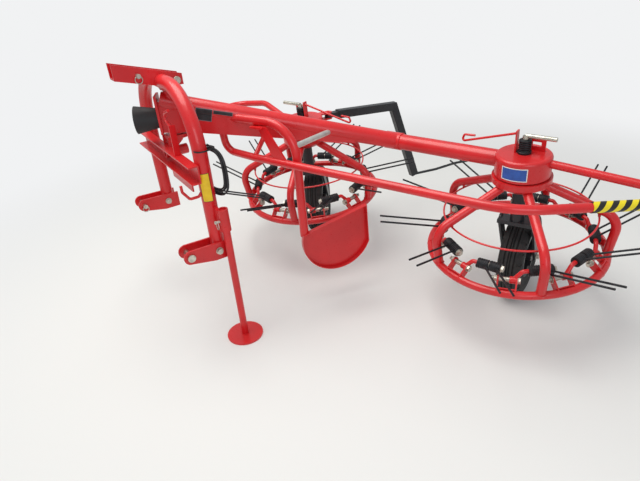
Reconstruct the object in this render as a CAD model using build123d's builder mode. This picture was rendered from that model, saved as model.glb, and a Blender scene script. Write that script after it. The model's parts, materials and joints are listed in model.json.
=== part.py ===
"""Two-rotor hay tedder for a three-point linkage, parked on its castor wheels and its jack.

Millimetres. +Z is up, the ground is z = 0, and the tractor stands towards -Y.
The origin lies on the ground, in the middle of the machine's length and width.
"Near" is the side towards +X, "far" the side towards -X.
"""

import os
from collections import namedtuple
from math import atan2, cos, degrees, hypot, radians, sin, sqrt, tan

from build123d import *

# Rotor row
rotor_spacing = 1215
rotor_row = 22
row_middle = -2.8
ring_height = 321
rotor_tilt = 4.6
ring_radius = 372
ring_tube = 34
spoke_count = 5
spoke_tube = 38
spoke_root = (70, 318)
spoke_elbow = (392, 172)
spoke_bend = 90
bell_radius = 121
bell_neck = 85
bell_lip = 6
bell_bottom = 300
bell_edge = 326
bell_top = 352
control_ring_radius = 315
control_ring_height = 175
control_ring_rod = 8
control_clip = 12

# Tine units on each ring
unit_count = 10
tine_pin_radius = 327
tine_pin_height = 40
tine_pin_diameter = 16
tine_pin_tail = 8
tine_pin_head = 24
lug_spacing = 72
lug_thickness = 6
lug_width = 32
clevis_base = 5
eye_radius = 15
eye_length = 25
spacer_radius = 10.5
lever_bar = 18
lever_bend = 14
lever_turn = 22
coil_radius_out = 313
coil_height = 80
coil_diameter = 42
coil_length = 44
coil_spacing = 50
coil_neck = 26
tine_wire = 8.5
tine_reach = 600
tine_trail = 31
tine_rise = 18.5

# Rotor heads
drum_radius = 112
drum_bottom = 358
drum_top = 447
drum_edge = 14
beam_level = 405
head_stub = 20
spindle_radius = 40
spindle_bottom = 292
leg_radius = 30
leg_top = 380
running_gap = 0.1
crown_gap = 0.5
seat_gap = 0.05

# Castor wheels
tyre_radius = 205
tyre_width = 112
tyre_bulge = 14
tyre_shoulder = 4
tread_width = 84
tread_groove = 7
bead_radius = 101.6
rim_width = 96
rim_wall = 5
rim_flange = 9
wheel_hub_radius = 28
wheel_hub_length = 118
axle_radius = 10
castor_trail = 120
crown_height = 112
crown_thickness = 18
fork_spacing = 136
fork_plate = 10
fork_boss_radius = 24
fork_width = 48
fork_shoulder = 8
axle_end = 12
rim_disc = 8
groove_place = 16

# Beam and main arm
beam_tube = 73
arm_tube = 76
arm_front_height = 1019
arm_web_bottom = arm_front_height - 120
arm_web_run = 796
arm_web_end = 750
arm_web_width = 64
arm_nose = 60
socket_tube = 82
socket_near = 24
socket_far = -60
nose_plate_width = 96
nose_plate_bottom = arm_web_bottom - 3
nose_plate_top = arm_front_height + 41
nose_plate_thickness = 10
gusset_thickness = 8

# Swivel between the arm and the headstock
pivot_x = -672
pivot_y = -766
headstock_yaw = 17
pivot_pin = 24
pivot_boss = 64
top_boss_height = arm_front_height + 55
bottom_boss_height = arm_web_bottom - 9
boss_depth = 44
pin_depth = 38
pivot_clearance = 6
ear_thickness = 14
channel_bite = 4
ear_width = 84

# Drive input
input_height = arm_front_height - 59
input_shaft_diameter = 34.9
input_shaft_length = 85
spline_count = 6
spline_width = 8.7
spline_root = 28
guard_mouth_radius = 60
guard_root_radius = 42
guard_length = 100
guard_wall = 4
shaft_journal = 28
shaft_shoulder = 4

# Headstock
arch_tube = 60
arch_half_width = 342
arch_ahead = -35
arch_top = top_boss_height + 46
arch_bend = 235
arch_foot = 432
link_pin_ahead = -170
link_pin_height = 469
link_pin_diameter = 22
link_pin_tail = 22
link_pin_head = 34
link_plate = 8
link_bracket_rear = 12
link_bracket_top = 495
link_bracket_depth = 78
link_nose_radius = 31
link_bolt = 16
top_pin_ahead = -129
top_pin_height = arch_top + 37
top_pin_diameter = 19
top_pin_length = 112
top_bolt_ahead = 28
top_bolt_height = arch_top - 6
top_plate_gap = 56
top_plate = 8
top_plate_depth = 64
top_front_overhang = 93
top_rear_overhang = 26
clip_ring_radius = 15
clip_wire = 4
cross_top = bottom_boss_height - 44
cross_depth = 76
cross_reach = 42
cross_wall = 6
roll_tube = 46
roll_tube_height = cross_top - 37
roll_tube_length = 104
hook_bar = 12
hook_root = 735
hook_run = ((-74, 708), (-112, 708), (-137, 745), (-138, 772))
hook_bends = (10, 14, 14)
hung_plate_width = 250
hung_plate_depth = 80
latch_rod = 12
latch_bend = 21.6
latch_out = 190
latch_ahead = -80
latch_inner = 58
latch_foot = cross_top + 116
latch_nose = cross_top + 144
latch_head = cross_top + 188
hank_width = 146
hank_height = 188
hank_corner = 55
hank_thickness = 22
hank_middle = 800
hank_turn = 16.7

# Jack
jack_out = 408
jack_ahead = -9
jack_leg_diameter = 32
jack_leg_length = 648
jack_pad_radius = 83
jack_pad_thickness = 8
jack_sleeve_wall = 6
jack_sleeve_bottom = 556
jack_sleeve_top = 655

# Guards, hoop and divider
guard_tube = 34
guard_points = ((-550, -610, 775), (-386, -593, 762), (760, -511, 748), (1250, -5, 700))
guard_bends = (50, 80, 300, 80)
far_guard_points = ((-640, -555, 850), (-1246, 0, 775), (-950, 40, 800))
far_guard_bends = (200, 80, 120)
guard_seat = 737
near_guard_run = 190
far_guard_run = 230
far_guard_level = 890
guard_stay_run = 383
guard_stay_level = 845
seat_depth = 6
sleeve_wall = 2.5
sleeve_place = 0.37
sleeve_length = 240
hoop_tube = 40
hoop_x = -175
hoop_y = -540
hoop_top = arm_front_height - 95
hoop_rise = 5
hoop_root = (-500, -592)
hoop_foot = 398
hoop_bend = 150
strap_head = (-345, -297)
strap_foot = (-262, -190)
strap_sheet = 8
strap_lip = (-378, -310)
strap_lip_width = 30
divider_yaw = 29.7
divider_sheet = 4
divider_flange = 24
divider_front = -12
divider_crown = 10
divider_lean = 7
divider_rear = 320
divider_rise = 84
divider_rear_foot = -98
divider_belly = (105, -203)
brace_rod = 25
brace_level = 832
brace_run = 670
brace_end_level = 818
stay_rod = 22

# Height screws on the rotor heads
screw_rod = 24
screw_height = 92
screw_nut = 44
screw_handle = 120
screw_handle_rod = 18
screw_strap_width = 26
screw_strap_offset = 34
screw_collar = 14
strap_thickness = 6
slot_plate_height = 58
slot_plate_width = 70
slot_plate_behind = 40
setting_rod = 10
setting_rod_route = ((298, 53, 433), (286, 53, 466), (236, 53, 468))
setting_rod_bend = 9

# Swath gate
gate_hinge_x = -553
gate_hinge_y = 142
gate_level = 748
gate_bar = 46
gate_bar_corner = 4
gate_corner = (-382, 553, 720)
gate_foot = (-289, 658, 262)
gate_rod = 16
gate_rod_points = ((-296, 646, 262), (-206, 804, 262), (-149, 962, 262), (-81, 1065, 262))
gate_rod_bend = 60
gate_pin = 18
gate_eye = 24
gate_eye_radius = 20
gate_ear = 8
gate_ear_radius = 22
gate_ear_reach = 90
gate_clear = 60

RotorSide = namedtuple("RotorSide", "name sign spoke_start pin_start wheel_yaw")
sides = (
    RotorSide("near", 1, 18, 34, 5),
    RotorSide("far", -1, 7, 27, 32),
)


def within(base, plane):
    """Give the world plane of a plane that is stated in another plane's coordinates."""
    return Plane(base.location * plane.location)


def radial(base, angle):
    """Give the plane through the base's axis at an angle: x runs outward, y along the axis."""
    turn = radians(angle)
    outward = (cos(turn), sin(turn), 0)
    return within(base, Plane(origin=(0, 0, 0), x_dir=outward, z_dir=(sin(turn), -cos(turn), 0)))


def rotor_plane(side):
    """Give the plane of a rotor's ring, its z along the rotor's axis, leaning forward."""
    lean = radians(rotor_tilt)
    origin = (row_middle + side.sign * rotor_spacing / 2, rotor_row, ring_height)
    return Plane(origin=origin, x_dir=(1, 0, 0), z_dir=(0, -sin(lean), cos(lean)))


def round_bar(points, bends, diameter):
    """Make a round bar along straight runs joined by bends of the given radii."""
    with BuildPart() as bar:
        with BuildLine() as route:
            if len(points) == 2:
                Line(*points)
            else:
                FilletPolyline(*points, radius=bends)
        with BuildSketch(Plane(origin=route.line @ 0, z_dir=route.line % 0)):
            Circle(diameter / 2)
        sweep(path=route.line)
    return bar.part


def arm_end(run):
    """Give the plane across the arm at a distance from the pivot, facing the front."""
    return Plane(origin=arm_point(run, 0), x_dir=arm_side.z_dir, z_dir=-arm_side.x_dir)


def head_side(across):
    """Give the headstock's side view plane: x rearward, y up, facing the near side."""
    return Plane(origin=head_point(across, 0, 0), x_dir=headstock.y_dir, z_dir=headstock.x_dir)


def head_front(ahead):
    """Give the headstock's front view plane: x to the near side, y up, facing the front."""
    return Plane(origin=head_point(0, ahead, 0), x_dir=headstock.x_dir, z_dir=-headstock.y_dir)


def ring_place(across, ahead, height):
    """Give the plane for a clip ring that hangs on a pin lying across the headstock."""
    return Plane(origin=head_point(across, ahead, height), x_dir=headstock.y_dir, z_dir=headstock.x_dir)


def save(part, name):
    """Label a finished piece and write its file."""
    part.label = name
    export_step(part, f"parts/{name}.step")


os.makedirs("parts", exist_ok=True)

beam_point = rotor_plane(sides[0]).from_local_coords(Vector(0, 0, beam_level))
beam_y, beam_z = beam_point.Y, beam_point.Z

# Side view of the arm: x along its plan line from the pivot, y up, z to its near side
arm_heading = atan2(beam_y - pivot_y, -pivot_x)
arm_run = hypot(beam_y - pivot_y, pivot_x)
arm_slope = (arm_front_height - beam_z) / arm_run
near_head_x = row_middle + rotor_spacing / 2
far_head_x = row_middle - rotor_spacing / 2
socket_middle = (socket_near + socket_far) / 2
foot_up = (Align.CENTER, Align.CENTER, Align.MIN)
heads = {}
arm_side = Plane(
    origin=(pivot_x, pivot_y, 0),
    x_dir=(cos(arm_heading), sin(arm_heading), 0),
    z_dir=(sin(arm_heading), -cos(arm_heading), 0),
)

# The headstock's own frame: x across it to the near side, y rearward, z up from the pivot's foot
headstock = Plane(
    origin=(pivot_x, pivot_y, 0),
    x_dir=(cos(radians(headstock_yaw)), -sin(radians(headstock_yaw)), 0),
    z_dir=(0, 0, 1),
)

# Plan plane at the swath gate's hinge: x away from the far head
hinge_way = Vector(gate_hinge_x - far_head_x, gate_hinge_y - beam_y)
gate_hinge = Plane(origin=(gate_hinge_x, gate_hinge_y, 0), x_dir=hinge_way, z_dir=(0, 0, 1))


def arm_height(run):
    """Give the height of the arm tube's centre line at a distance from the pivot."""
    return arm_front_height - arm_slope * run


def web_height(run):
    """Give the height of the web's lower edge at a distance from the pivot."""
    return arm_web_bottom + (arm_web_end - arm_web_bottom) * run / arm_web_run


def arm_point(run, height, out=0):
    """Give the world point at a distance along the arm, a height and a distance to its near side."""
    return arm_side.from_local_coords(Vector(run, height, out))


def head_point(across, ahead, height):
    """Give the world point for a place in the headstock's own frame."""
    return headstock.from_local_coords(Vector(across, ahead, height))


# One spoke in the XZ plane, cut to sit on the tine ring, with the clip for the thin control ring
with BuildPart() as spoke:
    with BuildLine(Plane.XZ) as spoke_line:
        FilletPolyline(spoke_root, spoke_elbow, (ring_radius, 0), radius=spoke_bend)
    with BuildSketch(Plane(origin=spoke_line.line @ 0, z_dir=spoke_line.line % 0)):
        Circle(spoke_tube / 2)
    sweep(path=spoke_line.line)
    with Locations((control_ring_radius, 0, control_ring_height)):
        Cylinder(control_clip / 2, spoke_tube, align=(Align.CENTER, Align.CENTER, Align.MIN))
    Torus(ring_radius, ring_tube / 2, rotation=(0, 0, 90), mode=Mode.SUBTRACT)

lug_run = ring_radius - tine_pin_radius
lug_slope = degrees(atan2(-tine_pin_height, lug_run))
lug_length = hypot(tine_pin_height, lug_run)
base_share = (ring_tube + clevis_base / 2) / 2 / lug_length

bell_bore = spindle_radius + running_gap
bell_profile = (
    (bell_bore, bell_bottom),
    (bell_neck, bell_bottom),
    (bell_radius - bell_lip, bell_edge - bell_lip),
    (bell_radius, bell_edge),
    (bell_radius, bell_top),
    (bell_bore, bell_top),
)

# Bell, spokes and control ring, as one weldment
half_pitch = 180 / spoke_count
with BuildPart() as rotor:
    with BuildSketch(Plane.XZ):
        with BuildLine():
            Polyline(*bell_profile, close=True)
        make_face()
    revolve(axis=Axis.Z)
    with PolarLocations(0, spoke_count, start_angle=half_pitch):
        add(spoke.part)
    with Locations((0, 0, control_ring_height)):
        Torus(control_ring_radius, control_ring_rod / 2)

eye_middle = (lug_spacing - lug_thickness - eye_length) / 2
spacer_length = lug_spacing - lug_thickness - eye_length
tine_pin_length = lug_spacing + lug_thickness + tine_pin_tail + tine_pin_head
tine_pin_middle = (tine_pin_head - tine_pin_tail) / 2

for side in sides:
    hub = rotor_plane(side)
    hub_axis = Axis(hub.origin, hub.z_dir)
    coil_turn = side.sign * lever_turn
    coil_start = side.pin_start + coil_turn

    # Clevis of two lugs on a base, the lever's eye between them, and the bent lever for the coils
    spindle_start = Vector(coil_radius_out, -side.sign * (coil_spacing / 2 + coil_length), coil_height)
    spindle_end = Vector(coil_radius_out, -side.sign * (coil_spacing + coil_length) / 2, coil_height)
    lever_points = (
        (tine_pin_radius, side.sign * eye_middle, tine_pin_height),
        tuple(spindle_start.rotate(Axis.Z, coil_turn)),
        tuple(spindle_end.rotate(Axis.Z, coil_turn)),
    )
    with BuildPart() as clevis:
        for edge in (-1, 1):
            with BuildSketch(Plane.XZ.offset(edge * lug_spacing / 2)):
                with Locations((ring_radius - lug_run / 2, tine_pin_height / 2)):
                    SlotCenterToCenter(lug_length, lug_width, rotation=lug_slope)
            extrude(amount=lug_thickness / 2, both=True)
        with BuildSketch(Plane.XZ):
            with Locations((ring_radius - lug_run * base_share, tine_pin_height * base_share)):
                Rectangle(clevis_base, lug_width, rotation=lug_slope)
        extrude(amount=lug_spacing / 2, both=True)
        with BuildSketch(Plane.XZ.offset(-side.sign * eye_middle)):
            with Locations((tine_pin_radius, tine_pin_height)):
                Circle(eye_radius)
        extrude(amount=eye_length / 2, both=True)
        add(round_bar(lever_points, lever_bend, lever_bar))
        with BuildSketch(Plane.XZ):
            with Locations((tine_pin_radius, tine_pin_height)):
                Circle(tine_pin_diameter / 2 + seat_gap)
        extrude(amount=tine_pin_length, both=True, mode=Mode.SUBTRACT)

    # Tine ring with its clevises, made flat and then laid on the rotor's plane
    with BuildPart() as tine_ring:
        Torus(ring_radius, ring_tube / 2)
        with PolarLocations(0, unit_count, start_angle=side.pin_start):
            add(clevis.part)
    save(tine_ring.part.moved(hub.location), f"tine_ring_{side.name}")

    # Bell with its spokes, turned to this side's place
    rotor_turn = Location((0, 0, 0), (0, 0, side.spoke_start - half_pitch))
    save(rotor.part.moved(hub.location * rotor_turn), f"rotor_{side.name}")

    # Pins through the clevises with the spacer sleeve beside the lever's eye
    with BuildPart() as tine_pin:
        with BuildSketch(Plane.XZ.offset(side.sign * tine_pin_middle)):
            with Locations((tine_pin_radius, tine_pin_height)):
                Circle(tine_pin_diameter / 2)
        extrude(amount=tine_pin_length / 2, both=True)
        with BuildSketch(Plane.XZ.offset(side.sign * (eye_length / 2))):
            with Locations((tine_pin_radius, tine_pin_height)):
                Circle(spacer_radius)
        extrude(amount=spacer_length / 2 - seat_gap, both=True)
    with BuildPart(hub) as tine_pins:
        with PolarLocations(0, unit_count, start_angle=side.pin_start):
            add(tine_pin.part)
    save(tine_pins.part, f"tine_pins_{side.name}")

    # One double spring tine: two coils side by side, each with a wire out over the ring
    trail = radians(side.sign * tine_trail)
    heading = Vector(cos(trail), sin(trail))
    with BuildPart() as double_tine:
        with BuildSketch(Plane.XZ):
            with Locations((coil_radius_out, coil_height)):
                Circle(coil_neck / 2)
        extrude(amount=(coil_spacing - coil_length) / 2 + 1, both=True)
        for edge in (-1, 1):
            with BuildSketch(Plane.XZ.offset(edge * coil_spacing / 2)):
                with Locations((coil_radius_out, coil_height)):
                    Circle(coil_diameter / 2)
            extrude(amount=coil_length / 2, both=True)
            root = Vector(coil_radius_out, -edge * coil_spacing / 2)
            forward = root.dot(heading)
            reach = sqrt(forward**2 - root.length**2 + tine_reach**2) - forward
            tip = root + heading * reach
            tip_height = coil_height + reach * tan(radians(tine_rise))
            add(round_bar(((root.X, root.Y, coil_height), (tip.X, tip.Y, tip_height)), 0, tine_wire))
    with BuildPart(hub) as tines:
        with PolarLocations(0, unit_count, start_angle=coil_start):
            add(double_tine.part)
    save(tines.part, f"tines_{side.name}")

    # Fixed head: gear drum, short spindle under it and the stub of the beam, bored for the leg
    inward = -side.sign
    with BuildPart(hub) as head:
        with Locations((0, 0, drum_bottom)):
            Cylinder(drum_radius, drum_top - drum_bottom, align=foot_up)
        fillet(head.faces().sort_by(hub_axis)[-1].edges(), radius=drum_edge)
        with Locations((0, 0, spindle_bottom)):
            Cylinder(spindle_radius, leg_top - spindle_bottom, align=foot_up)
        with BuildSketch(within(hub, Plane.YZ)):
            with Locations((0, beam_level)):
                Circle(beam_tube / 2)
        extrude(amount=inward * (drum_radius + head_stub))
        with Locations((0, 0, spindle_bottom)):
            Cylinder(leg_radius + running_gap, leg_top - spindle_bottom, align=foot_up, mode=Mode.SUBTRACT)
        if side.sign < 0:
            # Two ears and the pin between them, for the swath gate
            gate_room = gate_eye / 2 + running_gap
            for level in (gate_level - gate_room - gate_ear, gate_level + gate_room):
                with BuildSketch(gate_hinge.offset(level)):
                    Circle(gate_ear_radius)
                    with Locations((-gate_ear_reach / 2, 0)):
                        Rectangle(gate_ear_reach, 2 * gate_ear_radius)
                extrude(amount=gate_ear)
            with BuildSketch(gate_hinge.offset(gate_level - gate_eye)):
                Circle(gate_pin / 2)
            extrude(amount=2 * gate_eye)
    save(head.part, f"rotor_head_{side.name}")
    heads[side.name] = head.part

    # Cross tube from the arm's socket to the stub of this head
    tube_inner = socket_middle + side.sign * seat_gap
    tube_outer = hub.origin.X - side.sign * (drum_radius + head_stub)
    with BuildPart() as cross_tube:
        with BuildSketch(Plane.YZ.offset(tube_inner)):
            with Locations((beam_y, beam_z)):
                Circle(beam_tube / 2)
        extrude(amount=tube_outer - tube_inner)
    save(cross_tube.part, f"cross_tube_{side.name}")

    # Strap, slotted plate and long rod of the height setting, standing on the drum
    strap_top = drum_top + screw_height
    rod_points = [(inward * screw_strap_offset, 0, strap_top - screw_rod / 2)]
    rod_points += [(inward * across, behind, height) for across, behind, height in setting_rod_route]
    with BuildPart(hub) as crank_bracket:
        with Locations((inward * screw_strap_offset, 0, drum_top)):
            Box(strap_thickness, screw_strap_width, screw_height, align=foot_up)
        with BuildSketch(within(hub, Plane.XZ.offset(-slot_plate_behind))):
            with Locations((-inward * slot_plate_width / 2, drum_top + slot_plate_height / 2)):
                Rectangle(slot_plate_width, slot_plate_height)
                Rectangle(slot_plate_width / 2, slot_plate_height / 3, mode=Mode.SUBTRACT)
        extrude(amount=strap_thickness / 2, both=True)
        add(round_bar(rod_points, (setting_rod_bend, setting_rod_bend), setting_rod))
    save(crank_bracket.part, f"crank_bracket_{side.name}")

    # Height screw with its collar and handle
    with BuildPart(hub) as height_crank:
        with Locations((0, 0, drum_top)):
            Cylinder(screw_nut / 2, screw_collar, align=foot_up)
            Cylinder(screw_rod / 2, screw_height - screw_handle_rod, align=foot_up)
        handle_level = drum_top + screw_height - screw_handle_rod
        handle_points = (
            (0, 0, handle_level),
            (-inward * screw_handle, 0, handle_level),
        )
        add(round_bar(handle_points, 0, screw_handle_rod))
    save(height_crank.part, f"height_crank_{side.name}")

    # Castor: its own frame turns about the rotor's axis, y pointing to the wheel
    steer = radians(side.wheel_yaw)
    castor = within(hub, Plane(origin=(0, 0, 0), x_dir=(cos(steer), sin(steer), 0), z_dir=(0, 0, 1)))
    axle_lean = abs(castor.x_dir.Z)
    wheel_rise = tyre_radius * sqrt(1 - axle_lean**2) + tread_width / 2 * axle_lean
    wheel_height = (wheel_rise - castor.from_local_coords(Vector(0, castor_trail, 0)).Z) / castor.z_dir.Z
    wheel = within(castor, Plane(origin=(0, castor_trail, wheel_height), x_dir=(0, 1, 0), z_dir=(1, 0, 0)))

    arm_run_down = Vector(castor_trail - fork_shoulder, wheel_height - crown_height)
    arm_tilt = degrees(atan2(arm_run_down.Y, arm_run_down.X))
    with BuildPart(castor) as castor_fork:
        with Locations((0, 0, crown_height)):
            Cylinder(leg_radius, leg_top - crown_gap - crown_height, align=foot_up)
            Box(fork_spacing + 2 * fork_plate, 2 * fork_shoulder + fork_width, crown_thickness, align=foot_up)
        for edge in (-1, 1):
            with BuildSketch(within(castor, Plane.YZ.offset(edge * (fork_spacing + fork_plate) / 2))):
                with Locations(
                    (
                        (fork_shoulder + castor_trail) / 2,
                        (crown_height + crown_thickness / 2 + wheel_height) / 2,
                    )
                ):
                    SlotCenterToCenter(arm_run_down.length, fork_width, rotation=arm_tilt)
                with Locations((castor_trail, wheel_height)):
                    Circle(fork_boss_radius)
            extrude(amount=fork_plate / 2, both=True)
        with BuildSketch(within(castor, Plane.YZ)):
            with Locations((castor_trail, wheel_height)):
                Circle(axle_radius)
        extrude(amount=fork_spacing / 2 + fork_plate + axle_end, both=True)
    save(castor_fork.part, f"castor_fork_{side.name}")

    # Wheel rim: hub, disc and drop-sided barrel with two flanges
    rim_profile = (
        (axle_radius + running_gap, wheel_hub_length / 2),
        (wheel_hub_radius, wheel_hub_length / 2),
        (wheel_hub_radius, rim_disc / 2),
        (bead_radius - rim_wall, rim_disc / 2),
        (bead_radius - rim_wall, rim_width / 2),
        (bead_radius + rim_flange, rim_width / 2),
        (bead_radius + rim_flange, rim_width / 2 - rim_wall),
        (bead_radius, rim_width / 2 - rim_wall),
        (bead_radius, 0),
        (axle_radius + running_gap, 0),
    )
    with BuildPart(wheel) as rim:
        with BuildSketch(radial(wheel, 0)):
            with BuildLine():
                Polyline(*rim_profile, close=True)
            make_face()
            mirror(about=Plane.XZ)
        revolve(axis=Axis(wheel.origin, wheel.z_dir))
    save(rim.part, f"rim_{side.name}")

    # Tyre with square shoulders and two grooves round the tread
    bead_half = rim_width / 2 - rim_wall - seat_gap
    tyre_bore = bead_radius + seat_gap
    tread_half = tread_width / 2
    tyre_middle = (bead_radius + tyre_radius) / 2
    tyre_profile = (
        (tyre_bore, bead_half),
        (bead_radius + rim_flange + 1, bead_half),
        (tyre_middle - tyre_bulge / 2, tyre_width / 2 - tyre_shoulder),
        (tyre_middle + tyre_bulge, tyre_width / 2),
        (tyre_radius - tyre_bulge, tyre_width / 2 - tyre_shoulder),
        (tyre_radius, tread_half),
        (tyre_radius, groove_place + tread_groove / 2),
        (tyre_radius - tread_groove, groove_place + tread_groove / 2),
        (tyre_radius - tread_groove, groove_place - tread_groove / 2),
        (tyre_radius, groove_place - tread_groove / 2),
        (tyre_radius, 0),
        (tyre_bore, 0),
    )
    with BuildPart(wheel) as tyre:
        with BuildSketch(radial(wheel, 0)):
            with BuildLine():
                Polyline(*tyre_profile, close=True)
            make_face()
            mirror(about=Plane.XZ)
        revolve(axis=Axis(wheel.origin, wheel.z_dir))
    save(tyre.part, f"tyre_{side.name}")

# Main arm: tube over a deep web, with the swivel bosses, nose plate and beam socket
arm_tip = arm_point(arm_run, beam_z)
arm_back = arm_point(nose_plate_thickness - arm_nose, arm_height(nose_plate_thickness - arm_nose))
arm_way = arm_tip - arm_back
with BuildPart() as main_arm:
    with BuildSketch(Plane(origin=arm_back, z_dir=arm_way)):
        Circle(arm_tube / 2)
    extrude(amount=arm_way.length)
    with BuildSketch(arm_side):
        with BuildLine():
            Polyline(
                (-arm_nose, arm_height(-arm_nose)),
                (-arm_nose, arm_web_bottom),
                (0, arm_web_bottom),
                (arm_web_run, arm_web_end),
                (arm_web_run, arm_height(arm_web_run)),
                close=True,
            )
        make_face()
    extrude(amount=arm_web_width / 2, both=True)
    for boss_bottom in (top_boss_height - boss_depth, bottom_boss_height):
        with BuildSketch(headstock.offset(boss_bottom)):
            Circle(pivot_boss / 2)
        extrude(amount=boss_depth)
    with BuildSketch(arm_end(-arm_nose)):
        with Locations((0, (nose_plate_bottom + nose_plate_top) / 2)):
            Rectangle(nose_plate_width, nose_plate_top - nose_plate_bottom)
    extrude(amount=nose_plate_thickness)
    # Socket for the cross tubes, and the bores
    with BuildSketch(Plane.YZ.offset(socket_far)):
        with Locations((beam_y, beam_z)):
            Circle(socket_tube / 2)
    extrude(amount=socket_near - socket_far)
    with BuildSketch(Plane.YZ.offset(socket_far - arm_tube)):
        with Locations((beam_y, beam_z)):
            Circle(beam_tube / 2 + seat_gap)
    extrude(amount=socket_near - socket_far + 2 * arm_tube, mode=Mode.SUBTRACT)
    for bore_bottom in (top_boss_height - pin_depth - 2, bottom_boss_height):
        with BuildSketch(headstock.offset(bore_bottom)):
            Circle(pivot_pin / 2 + running_gap)
        extrude(amount=pin_depth + 2, mode=Mode.SUBTRACT)
    with BuildSketch(arm_end(-arm_nose + shaft_journal)):
        with Locations((0, input_height)):
            Circle(input_shaft_diameter / 2 + running_gap)
    extrude(amount=shaft_journal + nose_plate_thickness, mode=Mode.SUBTRACT)
save(main_arm.part, "main_arm")

# Shield cone round the input shaft
input_plan = Plane(
    origin=arm_point(-arm_nose - nose_plate_thickness, input_height),
    x_dir=arm_side.z_dir,
    z_dir=(0, 0, 1),
)
with BuildPart() as input_guard:
    with BuildSketch(input_plan):
        with BuildLine():
            Polyline(
                (guard_root_radius, 0),
                (guard_mouth_radius, -guard_length),
                (guard_mouth_radius - guard_wall, -guard_length),
                (guard_root_radius - guard_wall, 0),
                close=True,
            )
        make_face()
    revolve(axis=Axis(input_plan.origin, input_plan.y_dir))
save(input_guard.part, "input_guard")

# Input shaft: plain journal in the nose, then the splined end
journal_end = arm_nose + nose_plate_thickness + shaft_shoulder
with BuildPart() as input_shaft:
    with BuildSketch(arm_end(-arm_nose + shaft_journal - 2)):
        with Locations((0, input_height)):
            Circle(input_shaft_diameter / 2)
    extrude(amount=journal_end - arm_nose + shaft_journal - 2)
    with BuildSketch(arm_end(-journal_end)):
        with Locations((0, input_height)):
            for turn in range(0, 180, 360 // spline_count):
                Rectangle(input_shaft_diameter, spline_width, rotation=turn)
            Circle(input_shaft_diameter / 2, mode=Mode.INTERSECT)
            Circle(spline_root / 2)
    extrude(amount=input_shaft_length)
save(input_shaft.part, "input_shaft")

# Guard tube on the near side, with its stay up to the arm, seated on arm and drum
guard_start = arm_point(near_guard_run, web_height(near_guard_run) + guard_tube / 2)
guard_seat_point = (near_head_x + drum_radius - seat_depth, beam_y, guard_seat)
stay_top = arm_point(guard_stay_run, guard_stay_level, arm_web_width / 2 - seat_depth)
with BuildPart() as guard_near:
    add(round_bar((guard_start, *guard_points, guard_seat_point), guard_bends, guard_tube))
    add(round_bar((guard_points[1], stay_top), 0, stay_rod))
    add(main_arm.part, mode=Mode.SUBTRACT)
    add(heads["near"], mode=Mode.SUBTRACT)
save(guard_near.part, "guard_near")

far_guard_start = arm_point(far_guard_run, far_guard_level)
far_guard_seat = (far_head_x - drum_radius + seat_depth, beam_y, guard_seat)
with BuildPart() as guard_far:
    add(round_bar((far_guard_start, *far_guard_points, far_guard_seat), far_guard_bends, guard_tube))
    add(main_arm.part, mode=Mode.SUBTRACT)
    add(heads["far"], mode=Mode.SUBTRACT)
save(guard_far.part, "guard_far")

# Striped sleeves on the guards' outer runs
for name, run_start, run_end in (
    ("end_sleeve_near", guard_points[2], guard_points[3]),
    ("end_sleeve_far", far_guard_points[0], far_guard_points[1]),
):
    run_way = Vector(*run_end) - Vector(*run_start)
    sleeve_start = Vector(*run_start) + run_way * sleeve_place
    with BuildPart() as end_sleeve:
        with BuildSketch(Plane(origin=sleeve_start, z_dir=run_way)):
            Circle(guard_tube / 2 + seat_gap + sleeve_wall)
            Circle(guard_tube / 2 + seat_gap, mode=Mode.SUBTRACT)
        extrude(amount=sleeve_length)
    save(end_sleeve.part, name)

# Hoop that hangs the divider from the arm, with the flat strap from it down to the guard
strap_way = Vector(*guard_points[2]) - Vector(*guard_points[1])
strap_plane = Plane(
    origin=(*guard_points[1][:2], 0),
    x_dir=(strap_way.X, strap_way.Y, 0),
    z_dir=(strap_way.Y, -strap_way.X, 0),
)
strap_origin = guard_points[1][0]
guard_level = guard_points[1][2]
with BuildPart() as swath_hoop:
    hoop_points = ((*hoop_root, hoop_top + hoop_rise), (hoop_x, hoop_y, hoop_top), (hoop_x, hoop_y, hoop_foot))
    add(round_bar(hoop_points, (hoop_bend,), hoop_tube))
    with BuildSketch(strap_plane):
        with BuildLine():
            Polyline(
                (strap_head[0] - strap_origin, hoop_top - hoop_tube / 2 + seat_depth),
                (strap_head[1] - strap_origin, hoop_top - hoop_tube / 2 + seat_depth),
                (strap_foot[1] - strap_origin, guard_level),
                (strap_foot[0] - strap_origin, guard_level),
                close=True,
            )
        make_face()
    extrude(amount=strap_sheet / 2, both=True)
    with BuildSketch(strap_plane):
        with Locations(((strap_lip[0] + strap_lip[1]) / 2 - strap_origin, hoop_top - hoop_tube / 2)):
            Rectangle(strap_lip[1] - strap_lip[0], strap_sheet)
    extrude(amount=strap_lip_width / 2, both=True)
    add(main_arm.part, mode=Mode.SUBTRACT)
    add(guard_near.part, mode=Mode.SUBTRACT)
save(swath_hoop.part, "swath_hoop")

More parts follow.
